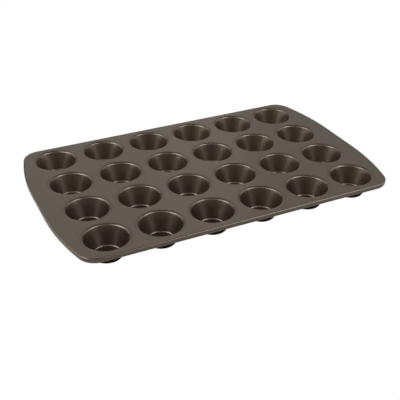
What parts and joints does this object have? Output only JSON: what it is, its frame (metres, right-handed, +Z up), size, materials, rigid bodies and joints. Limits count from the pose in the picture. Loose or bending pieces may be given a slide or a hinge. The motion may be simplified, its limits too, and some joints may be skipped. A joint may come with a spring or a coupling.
{
  "type": "muffin tin",
  "caption": "Shallow rectangular tin with rows of small tapered cups set into a flat deck with bowed ends and a rolled, wired edge.",
  "frame": {"origin": "under the middle of the deck, on the plane the cups stand on", "axes": "+X along the length, +Y across towards the back, +Z up out of the cups"},
  "size_m": [0.393, 0.246, 0.0225],
  "materials": {
    "coated_steel": "satin",
    "bright_wire": "satin"
  },
  "bodies": {
    "root": {"deck": "coated_steel", "cup_r1_c1": "coated_steel", "cup_r1_c2": "coated_steel", "cup_r1_c3": "coated_steel", "cup_r1_c4": "coated_steel", "cup_r1_c5": "coated_steel", "cup_r1_c6": "coated_steel", "cup_r2_c1": "coated_steel", "cup_r2_c2": "coated_steel", "cup_r2_c3": "coated_steel", "cup_r2_c4": "coated_steel", "cup_r2_c5": "coated_steel", "cup_r2_c6": "coated_steel", "cup_r3_c1": "coated_steel", "cup_r3_c2": "coated_steel", "cup_r3_c3": "coated_steel", "cup_r3_c4": "coated_steel", "cup_r3_c5": "coated_steel", "cup_r3_c6": "coated_steel", "cup_r4_c1": "coated_steel", "cup_r4_c2": "coated_steel", "cup_r4_c3": "coated_steel", "cup_r4_c4": "coated_steel", "cup_r4_c5": "coated_steel", "cup_r4_c6": "coated_steel", "rim_wire": "bright_wire"}
  },
  "joints": []
}
